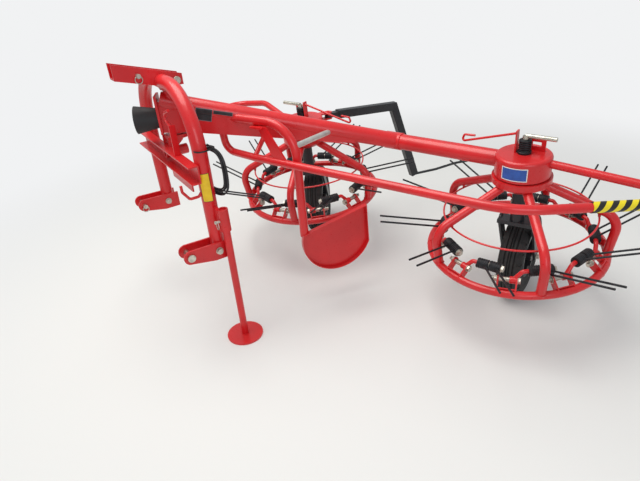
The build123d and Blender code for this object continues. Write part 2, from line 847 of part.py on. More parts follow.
# Divider: upright sheet with a folded edge, x along it from the hoop's leg
divider_way = radians(divider_yaw)
divider_plane = Plane(
    origin=(hoop_x, hoop_y, hoop_foot),
    x_dir=(sin(divider_way), cos(divider_way), 0),
    z_dir=(cos(divider_way), -sin(divider_way), 0),
)
divider_head = (divider_front, divider_crown)
divider_back = (divider_rear, divider_rear_foot)
with BuildPart() as divider_plate:
    with BuildSketch(divider_plane) as divider_outline:
        with BuildLine():
            Polyline(divider_back, (divider_rear - divider_lean, divider_head[1] + divider_rise), divider_head)
            ThreePointArc(divider_head, (divider_belly[0], divider_belly[1]), divider_back)
        make_face()
    extrude(amount=divider_sheet)
    with BuildSketch(divider_plane):
        add(divider_outline.sketch_local)
        offset(amount=-divider_sheet, mode=Mode.SUBTRACT)
    extrude(amount=divider_flange)
    add(swath_hoop.part, mode=Mode.SUBTRACT)
save(divider_plate.part, "divider_plate")

# Pale brace from the hoop's leg to the arm
brace_end = arm_point(brace_run, brace_end_level, arm_tube / 2 - seat_depth)
with BuildPart() as brace_bar:
    add(round_bar(((hoop_x, hoop_y, brace_level), brace_end), 0, brace_rod))
    add(main_arm.part, mode=Mode.SUBTRACT)
    add(swath_hoop.part, mode=Mode.SUBTRACT)
save(brace_bar.part, "brace_bar")

# Headstock: arch of round tube with the upper swivel ear under its middle
leg_front = arch_ahead - arch_tube / 2
arch_points = (
    (-arch_half_width, arch_ahead, arch_foot),
    (-arch_half_width, arch_ahead, arch_top),
    (arch_half_width, arch_ahead, arch_top),
    (arch_half_width, arch_ahead, arch_foot),
)
with BuildPart() as headstock_arch:
    add(round_bar(arch_points, (arch_bend, arch_bend), arch_tube).moved(headstock.location))
    with BuildSketch(headstock.offset(top_boss_height + pivot_clearance)):
        Circle(ear_width / 2)
        with Locations((0, arch_ahead / 2)):
            Rectangle(ear_width, -arch_ahead)
    extrude(amount=ear_thickness)
    with BuildSketch(headstock.offset(top_boss_height)):
        Circle(pivot_pin / 2 + seat_gap)
    extrude(amount=3 * ear_thickness, mode=Mode.SUBTRACT)
save(headstock_arch.part, "headstock_arch")

# Cross member: channel open to the front, lower swivel ear on two ribs, roll tube, hung plate
channel_back = leg_front + channel_bite
lower_ear_top = bottom_boss_height - pivot_clearance
with BuildPart() as cross_member:
    with BuildSketch(head_side(0)):
        with Locations((channel_back - cross_reach / 2, cross_top - cross_depth / 2)):
            Rectangle(cross_reach, cross_depth)
        with Locations((channel_back - cross_reach / 2 - cross_wall, cross_top - cross_depth / 2)):
            Rectangle(cross_reach, cross_depth - 2 * cross_wall, mode=Mode.SUBTRACT)
    extrude(amount=arch_half_width + arch_tube / 2, both=True)
    with BuildSketch(headstock.offset(lower_ear_top - ear_thickness)):
        Circle(ear_width / 2)
        with Locations((0, channel_back / 2)):
            Rectangle(ear_width, -channel_back)
    extrude(amount=ear_thickness)
    for edge in (-1, 1):
        with BuildSketch(head_side(edge * (ear_width / 2 - gusset_thickness / 2))):
            with BuildLine():
                Polyline(
                    (channel_back - cross_wall, cross_top - cross_depth / 2),
                    (channel_back - cross_wall, lower_ear_top - 2),
                    (0, lower_ear_top - 2),
                    (0, lower_ear_top - ear_thickness - channel_bite),
                    close=True,
                )
            make_face()
        extrude(amount=gusset_thickness / 2, both=True)
    with BuildSketch(head_front(channel_back - cross_reach / 2)):
        with Locations((0, roll_tube_height)):
            Circle(roll_tube / 2)
    extrude(amount=-roll_tube_length)
    with BuildSketch(head_front(channel_back - cross_reach)):
        with Locations((0, roll_tube_height)):
            Circle(roll_tube / 2 - cross_wall)
    extrude(amount=-roll_tube_length, mode=Mode.SUBTRACT)
    with BuildSketch(head_front(channel_back)):
        with Locations((hung_plate_width / 2, cross_top - cross_depth + cross_wall - hung_plate_depth / 2)):
            Rectangle(hung_plate_width, hung_plate_depth)
    extrude(amount=cross_wall)
    with BuildSketch(headstock.offset(cross_top - cross_wall)):
        with Locations((latch_out, latch_ahead)):
            Rectangle(strap_thickness, screw_strap_width)
    extrude(amount=latch_foot + latch_rod - cross_top + cross_wall)
    with BuildSketch(headstock.offset(lower_ear_top - 2 * ear_thickness)):
        Circle(pivot_pin / 2 + seat_gap)
    extrude(amount=3 * ear_thickness, mode=Mode.SUBTRACT)
    add(headstock_arch.part, mode=Mode.SUBTRACT)
save(cross_member.part, "cross_member")

# Swivel pins, held in the ears and reaching into the arm's bosses
with BuildPart() as swivel_pins:
    with BuildSketch(headstock.offset(lower_ear_top - ear_thickness - pivot_clearance)):
        Circle(pivot_pin / 2)
    extrude(amount=ear_thickness + 2 * pivot_clearance + pin_depth)
    with BuildSketch(headstock.offset(top_boss_height - pin_depth)):
        Circle(pivot_pin / 2)
    extrude(amount=pin_depth + pivot_clearance + ear_thickness + 2)
save(swivel_pins.part, "swivel_pins")

# Bent latch rod on its strap
latch_points = (
    (latch_out, latch_ahead, latch_foot),
    (latch_inner, latch_ahead, latch_nose),
    (latch_out, latch_ahead, latch_head),
)
with BuildPart() as latch_handle:
    add(round_bar(latch_points, (latch_bend,), latch_rod).moved(headstock.location))
    add(cross_member.part, mode=Mode.SUBTRACT)
save(latch_handle.part, "latch_handle")

# Lower link brackets: two plates and a web at the foot of each leg
with BuildPart() as lower_link_brackets:
    for edge in (-1, 1):
        for face in (-1, 1):
            plate_middle = edge * arch_half_width + face * (arch_tube + link_plate) / 2
            with BuildSketch(head_side(plate_middle)):
                with Locations((link_pin_ahead, link_pin_height)):
                    Circle(link_nose_radius)
                with BuildLine():
                    Polyline(
                        (link_pin_ahead, link_pin_height + link_nose_radius),
                        (link_bracket_rear, link_bracket_top),
                        (link_bracket_rear, link_bracket_top - link_bracket_depth),
                        (leg_front, link_bracket_top - link_bracket_depth),
                        (link_pin_ahead, link_pin_height - link_nose_radius),
                        close=True,
                    )
                make_face()
                with Locations((link_pin_ahead, link_pin_height)):
                    Circle(link_pin_diameter / 2 + seat_gap, mode=Mode.SUBTRACT)
            extrude(amount=link_plate / 2, both=True)
        with BuildSketch(headstock.offset(arch_foot - link_plate)):
            with Locations((edge * arch_half_width, (leg_front + link_bracket_rear) / 2)):
                Rectangle(arch_tube + 2, link_bracket_rear - leg_front)
        extrude(amount=link_plate)
    add(headstock_arch.part, mode=Mode.SUBTRACT)
save(lower_link_brackets.part, "lower_link_brackets")

# Lower link pins with their heads and ring clips
pin_span = arch_tube + 2 * link_plate
with BuildPart() as lower_link_pins:
    for edge in (-1, 1):
        with BuildSketch(head_side(edge * (arch_half_width + pin_span / 2))):
            with Locations((link_pin_ahead, link_pin_height)):
                Circle(link_pin_diameter / 2)
        extrude(amount=-edge * (pin_span + link_pin_tail))
        with BuildSketch(head_side(edge * (arch_half_width + pin_span / 2))):
            with Locations((link_pin_ahead, link_pin_height)):
                Circle(link_pin_head / 2)
        extrude(amount=edge * link_plate)
        clip_middle = edge * (arch_half_width - pin_span / 2 - link_pin_tail / 2)
        with Locations(ring_place(clip_middle, link_pin_ahead, link_pin_height - clip_ring_radius)):
            Torus(clip_ring_radius, clip_wire / 2)
save(lower_link_pins.part, "lower_link_pins")

# Top link bracket: two side plates with a sloping web, notched over the arch
top_slope = (top_bolt_height - top_pin_height) / (top_bolt_ahead - top_pin_ahead)
top_front = top_pin_ahead - top_front_overhang
top_rear = top_bolt_ahead + top_rear_overhang
top_half = top_plate_depth / 2


def top_line(ahead):
    """Give the height of the line through the top pin and the bolt behind it."""
    return top_pin_height + top_slope * (ahead - top_pin_ahead)


ear_top = top_boss_height + pivot_clearance + ear_thickness
ear_meet = top_pin_ahead + (ear_top + top_half - top_pin_height) / top_slope
with BuildPart() as top_link_bracket:
    for edge in (-1, 1):
        with BuildSketch(head_side(edge * (top_plate_gap + top_plate) / 2)):
            with BuildLine():
                Polyline(
                    (top_front, top_line(top_front) - top_half),
                    (top_front, top_line(top_front) + top_half),
                    (top_rear, top_line(top_rear) + top_half),
                    (top_rear, ear_top),
                    (ear_meet, ear_top),
                    close=True,
                )
            make_face()
            with Locations((top_pin_ahead, top_pin_height)):
                Circle(top_pin_diameter / 2 + seat_gap, mode=Mode.SUBTRACT)
            with Locations((top_bolt_ahead, top_bolt_height)):
                Circle(link_bolt / 2 + seat_gap, mode=Mode.SUBTRACT)
        extrude(amount=top_plate / 2, both=True)
    with BuildSketch(head_side(0)):
        with BuildLine():
            Polyline(
                (top_front, top_line(top_front) - top_half),
                (top_front, top_line(top_front) - top_half + top_plate),
                (leg_front, top_line(leg_front) - top_half + top_plate),
                (leg_front, top_line(leg_front) - top_half),
                close=True,
            )
        make_face()
    extrude(amount=top_plate_gap / 2 + top_plate / 2, both=True)
    add(headstock_arch.part, mode=Mode.SUBTRACT)
save(top_link_bracket.part, "top_link_bracket")

# Top link pin with two ring clips, and the bolt behind the arch
with BuildPart() as top_link_pin:
    with BuildSketch(head_side(0)):
        with Locations((top_pin_ahead, top_pin_height)):
            Circle(top_pin_diameter / 2)
    extrude(amount=top_pin_length / 2, both=True)
    with BuildSketch(head_side(0)):
        with Locations((top_bolt_ahead, top_bolt_height)):
            Circle(link_bolt / 2)
    extrude(amount=top_plate_gap / 2 + 2 * top_plate, both=True)
    for edge in (-1, 1):
        clip_middle = edge * (top_plate_gap / 2 + top_plate + top_pin_length / 2) / 2
        with Locations(ring_place(clip_middle, top_pin_ahead, top_pin_height - clip_ring_radius)):
            Torus(clip_ring_radius, clip_wire / 2)
save(top_link_pin.part, "top_link_pin")

# Hook on the front of the near leg
hook_points = (
    (arch_half_width, arch_ahead - arch_tube / 4, hook_root),
    *((arch_half_width, ahead, height) for ahead, height in hook_run),
)
with BuildPart() as storage_hook:
    add(round_bar(hook_points, hook_bends, hook_bar).moved(headstock.location))
    add(headstock_arch.part, mode=Mode.SUBTRACT)
save(storage_hook.part, "storage_hook")

# Sleeve that holds the jack leg, with its lug to the near leg
jack_bore = jack_leg_diameter / 2 + running_gap
with BuildPart() as jack_sleeve:
    with BuildSketch(headstock.offset(jack_sleeve_bottom)):
        with Locations((jack_out, jack_ahead)):
            Circle(jack_bore + jack_sleeve_wall)
        with Locations(((jack_out + arch_half_width) / 2, jack_ahead - jack_bore)):
            Rectangle(jack_out - arch_half_width, 2 * gusset_thickness)
        with Locations((jack_out, jack_ahead)):
            Circle(jack_bore, mode=Mode.SUBTRACT)
    extrude(amount=jack_sleeve_top - jack_sleeve_bottom)
    add(headstock_arch.part, mode=Mode.SUBTRACT)
save(jack_sleeve.part, "jack_sleeve")

# Jack leg and its round foot
with BuildPart() as jack_leg:
    with BuildSketch(headstock):
        with Locations((jack_out, jack_ahead)):
            Circle(jack_pad_radius)
    extrude(amount=jack_pad_thickness)
    with BuildSketch(headstock):
        with Locations((jack_out, jack_ahead)):
            Circle(jack_leg_diameter / 2)
    extrude(amount=jack_leg_length)
save(jack_leg.part, "jack_leg")

# Hank of cord hung behind the near leg, as one solid ring
hank_lean = radians(hank_turn)
hank_offset = arch_ahead + (arch_tube + hank_thickness) / 2 / cos(hank_lean)
hank_across = (headstock.x_dir * cos(hank_lean) + headstock.y_dir * sin(hank_lean)).normalized()
hank_plane = Plane(
    origin=head_point(arch_half_width, hank_offset, hank_middle),
    x_dir=hank_across,
    z_dir=hank_across.cross(Vector(0, 0, 1)),
)
with BuildSketch(hank_plane) as hank_outline:
    RectangleRounded(hank_width, hank_height, hank_corner)
hank_route = hank_outline.sketch.face().outer_wire()
with BuildPart() as cord_hank:
    with BuildSketch(Plane(origin=hank_route @ 0, z_dir=hank_route % 0)):
        Circle(hank_thickness / 2)
    sweep(path=hank_route)
save(cord_hank.part, "cord_hank")

# Swath gate behind the far rotor: eye, bent bar and the rod at its foot
gate_way = Vector(*gate_corner) - Vector(gate_hinge_x, gate_hinge_y, gate_level)
gate_start = Vector(gate_hinge_x, gate_hinge_y, gate_level) + gate_way.normalized() * gate_clear
gate_eye_plane = Plane(
    origin=(gate_hinge_x, gate_hinge_y, gate_level),
    x_dir=(gate_way.X, gate_way.Y, 0),
    z_dir=(0, 0, 1),
)
with BuildPart() as swath_gate:
    with BuildLine() as gate_line:
        Polyline(gate_start, gate_corner, gate_foot)
    with BuildSketch(Plane(origin=gate_start, x_dir=gate_way.cross(Vector(0, 0, 1)), z_dir=gate_way)):
        RectangleRounded(gate_bar, gate_bar, gate_bar_corner)
    sweep(path=gate_line.line, transition=Transition.RIGHT)
    with BuildSketch(gate_eye_plane):
        Circle(gate_eye_radius)
        with Locations((gate_clear / 2, 0)):
            Rectangle(gate_clear + gate_bar / 2, 2 * gate_eye_radius)
    extrude(amount=gate_eye / 2, both=True)
    with BuildSketch(gate_eye_plane):
        Circle(gate_pin / 2 + running_gap)
    extrude(amount=gate_eye, both=True, mode=Mode.SUBTRACT)
    add(round_bar(gate_rod_points, (gate_rod_bend, gate_rod_bend), gate_rod))
save(swath_gate.part, "swath_gate")
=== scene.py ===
import json
import math

import bmesh
import bpy
from mathutils import Matrix, Vector


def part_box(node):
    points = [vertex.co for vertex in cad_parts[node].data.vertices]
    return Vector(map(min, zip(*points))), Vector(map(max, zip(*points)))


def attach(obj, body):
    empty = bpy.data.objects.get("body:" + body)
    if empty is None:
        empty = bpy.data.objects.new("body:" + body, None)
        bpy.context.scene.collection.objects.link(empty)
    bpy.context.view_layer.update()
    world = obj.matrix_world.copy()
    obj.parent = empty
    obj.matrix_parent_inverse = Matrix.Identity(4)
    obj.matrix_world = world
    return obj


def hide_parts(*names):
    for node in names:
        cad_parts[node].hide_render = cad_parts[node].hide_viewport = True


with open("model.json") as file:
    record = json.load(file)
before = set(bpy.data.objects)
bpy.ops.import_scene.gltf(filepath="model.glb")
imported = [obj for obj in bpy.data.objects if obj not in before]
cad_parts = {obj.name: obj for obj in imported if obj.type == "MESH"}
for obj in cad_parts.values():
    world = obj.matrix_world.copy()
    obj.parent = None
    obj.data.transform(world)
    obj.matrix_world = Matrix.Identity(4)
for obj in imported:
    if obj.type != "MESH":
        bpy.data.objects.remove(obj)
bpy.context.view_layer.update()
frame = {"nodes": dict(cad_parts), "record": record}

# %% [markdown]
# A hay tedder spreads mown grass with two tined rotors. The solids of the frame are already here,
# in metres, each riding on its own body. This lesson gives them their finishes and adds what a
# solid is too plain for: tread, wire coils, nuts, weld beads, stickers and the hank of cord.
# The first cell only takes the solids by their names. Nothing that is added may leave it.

nodes = frame["nodes"]

# %% [markdown]
# The camera stands where the photographer stood: about chest height, in front of the machine on
# its near side, looking down on it. A lens is easier to set from the height of the picture in
# pixels than by eye, so its focal length is worked out from one measured in pixels.

# %% Camera
MM = 0.001
camera_place = Vector((1.234, -2.007, 1.499))
camera_turn = math.radians(41.877)
camera_pitch = math.radians(29.18)
camera_roll = math.radians(-4.7)
focal_pixels = 493.68
picture_pixels = 640
sensor_mm = 36


def axes_turn(x_way, y_way, z_way):
    """Give the turn that lays X, Y and Z along three unit vectors."""
    return Matrix((x_way, y_way, z_way)).transposed().to_4x4()


look = Vector((
    -math.sin(camera_turn) * math.cos(camera_pitch),
    math.cos(camera_turn) * math.cos(camera_pitch),
    -math.sin(camera_pitch),
))
level_right = Vector((math.cos(camera_turn), math.sin(camera_turn), 0))
level_up = level_right.cross(look)
camera_right = math.cos(camera_roll) * level_right + math.sin(camera_roll) * level_up
camera_up = math.cos(camera_roll) * level_up - math.sin(camera_roll) * level_right
lens = bpy.data.cameras.new("camera")
lens.sensor_width = sensor_mm
lens.lens = focal_pixels * sensor_mm / picture_pixels
lens.clip_end = 200
camera = bpy.data.objects.new("camera", lens)
camera.matrix_world = Matrix.Translation(camera_place) @ axes_turn(camera_right, camera_up, -look)
bpy.context.scene.collection.objects.link(camera)
bpy.context.scene.camera = camera
print("lens:", round(lens.lens, 2), "mm")

# %% [markdown]
# The added pieces are placed from the frame's own record: a joint gives a rotor's or a wheel's
# centre and axis, and a mount gives the way that the headstock faces. A piece is modelled round the
# origin, where its numbers are simple, and its mesh is then moved to its place.

# %% Places from the record
record = frame["record"]
joint_of = {joint["name"]: joint for joint in record["behaviour"]["joints"]}
mount_of = {mount["name"]: mount for mount in record["mounts"]}


def place_of(origin, z_way, x_hint):
    """Give the matrix of a place from its origin, its z and a hint of its x."""
    up = Vector(z_way).normalized()
    right = Vector(x_hint)
    right = (right - up * right.dot(up)).normalized()
    return Matrix.Translation(Vector(origin)) @ axes_turn(right, up.cross(right), up)


def joint_place(name, x_hint):
    """Give the matrix of a joint, with its axis as z."""
    return place_of(joint_of[name]["pos_m"], joint_of[name]["axis"], x_hint)


sides = ("near", "far")
hub_place = {side: joint_place(side + "_rotor_spin", (1, 0, 0)) for side in sides}
wheel_place = {side: joint_place(side + "_wheel_spin", (0, 1, 0)) for side in sides}
pivot = Vector(joint_of["headstock_swivel"]["pos_m"])
pivot.z = 0
head_place = place_of(pivot, (0, 0, 1), mount_of["lower_link_pin_near"]["axis"])
arm_way = -Vector(mount_of["input_shaft"]["axis"])
arm_side_way = arm_way.cross(Vector((0, 0, 1)))
arm_place = place_of(pivot, arm_side_way, arm_way)
sign_of = {"near": 1, "far": -1}
pin_start = {"near": 34, "far": 27}
spoke_start = {"near": 18, "far": 7}
spoke_count = 5
unit_count = 10
lever_turn = 22
leg_out = 342
leg_radius = 30
print("places for", len(hub_place), "rotors and", len(wheel_place), "wheels")

# %% [markdown]
# The pull cord of the latch hangs in a loose hank behind the near leg. It is one length of limp
# cord: five turns that wind round each other, held by a tie at the top and fanned out at the
# bottom. Each turn is a rounded loop, and a slow twist moves the cord from place to place in the
# bundle, so that it never runs through itself. A NURBS line makes the whole run smooth. The bevel is
# one metre and each point's radius brings it down to the cord's, because Blender adds a point's
# radius, as metres, to the box of a curve.

# %% Hank of cord
scene = bpy.context.scene
cord_thickness = 7
hank_turns = 5
points_per_turn = 16
hank_half_width = 73
hank_half_height = 94
hank_squareness = 0.72
hank_middle = Vector((leg_out, 7.8, 800)) * MM
hank_lean = math.radians(16.7)
bundle_radius = 6.1
fan_depth = 7.5
last_turn = 0.86

hank_across = head_place.to_3x3() @ Vector((math.cos(hank_lean), math.sin(hank_lean), 0))
to_leg = hank_across.cross(Vector((0, 0, 1)))
hank_frame = Matrix.Translation(head_place @ hank_middle) @ axes_turn(hank_across, (0, 0, 1), to_leg)


def round_corner(value):
    """Square off a sine or cosine, so that a circle becomes a rounded rectangle."""
    return math.copysign(abs(value) ** hank_squareness, value)


# The first two points start the cord above the tie and lead it into its first turn.
cord_points = [(-4, hank_half_height + 17, 7.2), (4, hank_half_height + 13, 4)]
for count in range(1, round((hank_turns - 1 + last_turn) * points_per_turn)):
    turns = count / points_per_turn
    around = math.tau * (0.25 - turns)
    slot = math.tau * turns / hank_turns
    outward = Vector((math.cos(around), math.sin(around)))
    low = (1 - math.sin(around)) / 2
    radial = math.cos(slot) * (bundle_radius + fan_depth * low)
    cord_points.append((
        hank_half_width * round_corner(outward.x) + outward.x * radial,
        hank_half_height * round_corner(outward.y) + outward.y * radial,
        math.sin(slot) * bundle_radius,
    ))
cord_points = [hank_frame @ (Vector(point) * MM) for point in cord_points]

route = bpy.data.curves.new("hank_of_cord", "CURVE")
route.dimensions = "3D"
route.bevel_depth = 1
route.bevel_resolution = 3
route.resolution_u = 4
route.use_fill_caps = True
line = route.splines.new("NURBS")
line.points.add(len(cord_points) - 1)
for spot, point in zip(line.points, cord_points):
    spot.co = (*point, 1)
    spot.radius = cord_thickness / 2 * MM
line.order_u = 3
line.use_endpoint_u = True
hank = bpy.data.objects.new("hank_of_cord", route)
scene.collection.objects.link(hank)

# %% Knot and tie of the hank
knot_radius = 4.6
knot_thickness = 3.4
knot_turn = 65
knot_rise = 3
bpy.ops.object.select_all(action="DESELECT")
bpy.ops.mesh.primitive_torus_add(
    major_radius=knot_radius * MM, minor_radius=knot_thickness * MM, major_segments=20, minor_segments=10
)
knot = bpy.context.active_object
knot.name = "cord_knot"
bpy.ops.object.mode_set(mode="EDIT")
bpy.ops.mesh.duplicate()
bpy.ops.transform.rotate(value=math.radians(knot_turn), orient_axis="X", center_override=(0, 0, 0))
bpy.ops.transform.translate(value=(0, 0, knot_rise * MM))
bpy.ops.object.mode_set(mode="OBJECT")
knot.data.transform(Matrix.Translation(cord_points[-1]))
bpy.ops.object.shade_smooth()

tie_level = hank_half_height + 2
tie_reach = 52
tie_gap = 0.7
tie_width = 6
tie_thickness = 1.4
tie_squareness = 0.2
leg_gap = 41
bpy.ops.object.select_all(action="DESELECT")
bpy.ops.mesh.primitive_circle_add(vertices=48, radius=(leg_radius + tie_gap) * MM)
tie = bpy.context.active_object
tie.name = "hank_tie"
for vertex in tie.data.vertices:
    away = vertex.co.y / (leg_radius * MM)
    if away > 0:
        vertex.co.y = tie_reach * min(away, 1) ** tie_squareness * MM
bpy.ops.object.mode_set(mode="EDIT")
bpy.ops.mesh.extrude_region_move(TRANSFORM_OT_translate={"value": (0, 0, tie_width * MM)})
bpy.ops.mesh.select_all(action="SELECT")
bpy.ops.mesh.normals_make_consistent(inside=False)
bpy.ops.object.mode_set(mode="OBJECT")
tie_place = Matrix.Translation((0, tie_level * MM, leg_gap * MM))
tie.data.transform(hank_frame @ tie_place @ Matrix.Rotation(math.radians(-90), 4, "X"))
tie_wall = tie.modifiers.new("wall", "SOLIDIFY")
tie_wall.thickness = tie_thickness * MM
tie_wall.offset = 0
bpy.ops.object.modifier_apply(modifier=tie_wall.name)

for piece in (hank, knot, tie):
    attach(piece, "headstock")
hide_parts("cord_hank")
print("knot and tie in place")

# %% [markdown]
# A material is a small graph of nodes, and so is the sky. One helper adds a node, sets its values
# and links its inputs, so each finish below reads as a short recipe. All patterns use Object
# coordinates, which are metres here, so a scale of 1000 / size in millimetres gives the real size.

# %% Node helper


def linear(hex_colour):
    """Turn an sRGB hex colour into the linear colour that a shader reads."""
    parts = [int(hex_colour[place:place + 2], 16) / 255 for place in (1, 3, 5)]
    flat = [part / 12.92 if part <= 0.04045 else ((part + 0.055) / 1.055) ** 2.4 for part in parts]
    return (*flat, 1.0)


def add_node(tree, kind, inputs=None, **settings):
    """Add a shader node, with its settings, and with inputs given as values or as (node, output)."""
    made = tree.nodes.new(kind)
    for name, value in settings.items():
        setattr(made, name, value)
    for name, value in (inputs or {}).items():
        if isinstance(value, tuple) and hasattr(value[0], "outputs"):
            tree.links.new(value[0].outputs[value[1]], made.inputs[name])
        else:
            made.inputs[name].default_value = value
    return made


def start_material(name, **shader):
    """Begin a material: its tree, its object coordinates and its shader with constant values."""
    material = bpy.data.materials.new(name)
    material.use_nodes = True
    tree = material.node_tree
    surface = tree.nodes["Principled BSDF"]
    for socket, value in shader.items():
        surface.inputs[socket.replace("_", " ")].default_value = value
    place = add_node(tree, "ShaderNodeTexCoord")
    return material, tree, surface, (place, "Object")


def per_metre(size_mm):
    """Give the scale of a pattern from its real size in millimetres."""
    return 1000 / size_mm


def spread(tree, factor, low, high, low_place=0.3, high_place=0.7):
    """Blend two colours by a factor, between two places of its range."""
    ramp = add_node(tree, "ShaderNodeValToRGB", {"Fac": factor})
    ramp.color_ramp.elements[0].position = low_place
    ramp.color_ramp.elements[1].position = high_place
    ramp.color_ramp.elements[0].color = low
    ramp.color_ramp.elements[1].color = high
    return (ramp, "Color")


def grey(value):
    """Give a plain grey for ramps that drive roughness."""
    return (value, value, value, 1)


# %% [markdown]
# Studio light for painted metal has to be soft and wide, or each tube shows only one hard streak.
# The world gives an even grey sky, a large panel overhead stands for the overcast day, and a
# weaker one on the camera's side opens the shadows under the rotors.

# %% Light
scene.view_settings.view_transform = "Standard"
world = bpy.data.worlds.new("overcast")
world.use_nodes = True
sky_tree = world.node_tree
sky = sky_tree.nodes["Background"]
sky.inputs["Color"].default_value = linear("#E6E9ED")
sky.inputs["Strength"].default_value = 0.62
backdrop_white = linear("#F1F2F3")
backdrop = add_node(sky_tree, "ShaderNodeBackground", {"Color": backdrop_white})
ray = add_node(sky_tree, "ShaderNodeLightPath")
blend = add_node(sky_tree, "ShaderNodeMixShader", {0: (ray, "Is Camera Ray"), 1: (sky, 0), 2: (backdrop, 0)})
sky_tree.links.new(blend.outputs[0], sky_tree.nodes["World Output"].inputs["Surface"])
scene.world = world


def panel(name, place, aim, width, watts, colour):
    """Hang one square soft light at a place, turned to an aim."""
    light = bpy.data.lights.new(name, "AREA")
    light.size = width
    light.energy = watts
    light.color = linear(colour)[:3]
    lamp = bpy.data.objects.new(name, light)
    lamp.location = place
    lamp.rotation_euler = (Vector(aim) - Vector(place)).to_track_quat("-Z", "Y").to_euler()
    scene.collection.objects.link(lamp)


machine_middle = (0, 0, 0.5)
panel("overhead", (-1.0, -0.9, 4.2), machine_middle, width=3.2, watts=150, colour="#FFFDF8")
panel("side", (3.6, -3.1, 2.2), machine_middle, width=2.4, watts=45, colour="#F4F7FF")
print("lights:", 2)

# %% [markdown]
# The frame is welded steel with a sprayed polyester enamel, a warm signal red. Sprayed paint on
# tube is glossy but not flat: it has a fine orange-peel ripple of a few millimetres, and the yard
# has left a thin film of dust that dulls the gloss in patches, most on what faces up.

# %% Red and black enamel
dust_share = 0.22


def enamel(name, deep, bright, dust, gloss, coat):
    """Make a sprayed enamel: cloudy colour, orange peel, and dust where the surface faces up."""
    material, tree, surface, place = start_material(name, Coat_Weight=coat, Coat_Roughness=0.12)
    cloud = add_node(tree, "ShaderNodeTexNoise", {"Vector": place, "Scale": per_metre(160), "Detail": 4.0})
    speck = add_node(
        tree, "ShaderNodeTexNoise", {"Vector": place, "Scale": per_metre(9), "Detail": 6.0, "Roughness": 0.7}
    )
    peel = add_node(tree, "ShaderNodeTexNoise", {"Vector": place, "Scale": per_metre(3.5), "Detail": 2.0})
    paint = spread(tree, (cloud, "Fac"), deep, bright)
    facing = add_node(tree, "ShaderNodeNewGeometry")
    up = add_node(tree, "ShaderNodeSeparateXYZ", {"Vector": (facing, "Normal")})
    top = add_node(tree, "ShaderNodeMath", {0: (up, "Z"), 1: 0.5}, operation="MULTIPLY")
    settled = add_node(
        tree, "ShaderNodeMath", {0: (top, 0), 1: (speck, "Fac")}, operation="MULTIPLY", use_clamp=True
    )
    amount = add_node(tree, "ShaderNodeMath", {0: (settled, 0), 1: dust_share}, operation="MULTIPLY")
    dusty = add_node(tree, "ShaderNodeMix", {"Factor": (amount, 0), "A": paint, "B": dust}, data_type="RGBA")
    tree.links.new(dusty.outputs["Result"], surface.inputs["Base Color"])
    sheen = spread(tree, (speck, "Fac"), grey(gloss), grey(gloss + 0.2))
    tree.links.new(sheen[0].outputs[0], surface.inputs["Roughness"])
    ripple = add_node(tree, "ShaderNodeBump", {"Height": (peel, "Fac"), "Strength": 0.06, "Distance": 0.0008})
    tree.links.new(ripple.outputs["Normal"], surface.inputs["Normal"])
    return material


red_enamel = enamel("red_enamel", linear("#C20A12"), linear("#D8141B"), linear("#C9807A"), 0.24, 0.25)
black_enamel = enamel("black_enamel", linear("#15161A"), linear("#212329"), linear("#6E6C68"), 0.34, 0.15)
print("enamels:", red_enamel.name, black_enamel.name)

# %% [markdown]
# Tines and coils are spring steel dipped in black paint, duller than the enamel. Pins, screws and
# the brace are zinc plated: a pale grey metal whose plating clouds, with a slight straw tint.

# %% Spring steel and zinc


def plated(name, low, high, rough, metal=1.0, grain=6):
    """Make a plated or drawn metal with cloudy plating and fine drawing marks."""
    material, tree, surface, place = start_material(name, Metallic=metal)
    cloud = add_node(
        tree, "ShaderNodeTexNoise", {"Vector": place, "Scale": per_metre(grain * 3), "Detail": 5.0}
    )
    mark = add_node(
        tree, "ShaderNodeTexNoise", {"Vector": place, "Scale": per_metre(grain / 4), "Detail": 3.0}
    )
    tint = spread(tree, (cloud, "Fac"), low, high)
    tree.links.new(tint[0].outputs[0], surface.inputs["Base Color"])
    dull = spread(tree, (mark, "Fac"), grey(rough), grey(rough + 0.18))
    tree.links.new(dull[0].outputs[0], surface.inputs["Roughness"])
    scratch = add_node(
        tree, "ShaderNodeBump", {"Height": (mark, "Fac"), "Strength": 0.08, "Distance": 0.0004}
    )
    tree.links.new(scratch.outputs["Normal"], surface.inputs["Normal"])
    return material


zinc_plate = plated("zinc_plate", linear("#A9A69C"), linear("#DAD6C8"), 0.3)
galvanised = plated("galvanised_tube", linear("#B9BAB6"), linear("#DCDCD6"), 0.42, metal=0.75, grain=14)
spring_steel = plated("black_spring_steel", linear("#101114"), linear("#25272C"), 0.42, metal=0.25)
turned_steel = plated("greased_turned_steel", linear("#77736B"), linear("#A8A49A"), 0.3)
print("metals:", zinc_plate.name, galvanised.name, spring_steel.name, turned_steel.name)

# %% [markdown]
# Tyre rubber is matte and near black, greyed by dry dust, with a grain too fine to see as more
# than a break in the shine. The shield on the input shaft is a moulded black plastic.

# %% Rubber and plastic


